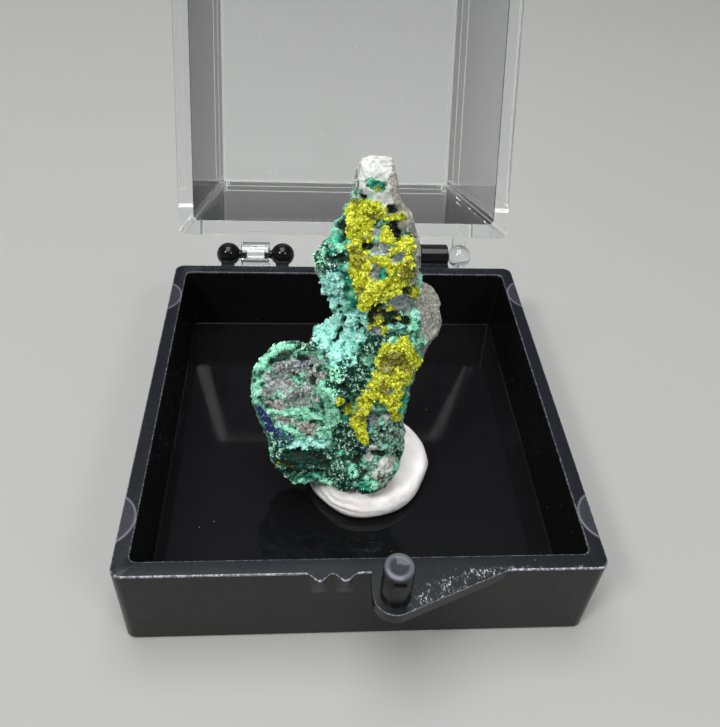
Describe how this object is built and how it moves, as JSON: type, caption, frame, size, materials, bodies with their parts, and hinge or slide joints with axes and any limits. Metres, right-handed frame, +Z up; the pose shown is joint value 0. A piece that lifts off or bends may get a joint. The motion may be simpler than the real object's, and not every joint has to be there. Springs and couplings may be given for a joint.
{
  "type": "volborthite specimen",
  "caption": "Mineral specimen with yellow and green crusts, fixed with putty in a small hinged display box with a black tray and a clear lid.",
  "frame": {"origin": "middle of the tray's flat underside", "axes": "+Z up, -Y towards the latch, +Y towards the hinge; the lid stands open behind the tray"},
  "size_m": [0.0318, 0.0718, 0.0418],
  "materials": {
    "black_plastic": "glossy moulded black polystyrene",
    "clear_plastic": "clear moulded polystyrene, seen through",
    "putty": "matt white mounting putty with finger marks",
    "mineral": "rough crust of yellow-green, turquoise and dark green on grey stone"
  },
  "bodies": {
    "base": {"tray": "black_plastic", "putty": "putty", "specimen": "mineral"},
    "lid": {"lid": "clear_plastic"}
  },
  "joints": [
    {"name": "lid_hinge", "type": "hinge", "parent": "base", "child": "lid", "pos_m": [0, 0.01767, 0.0077], "axis": [1, 0, 0], "range_deg": [0, 113.16]}
  ]
}
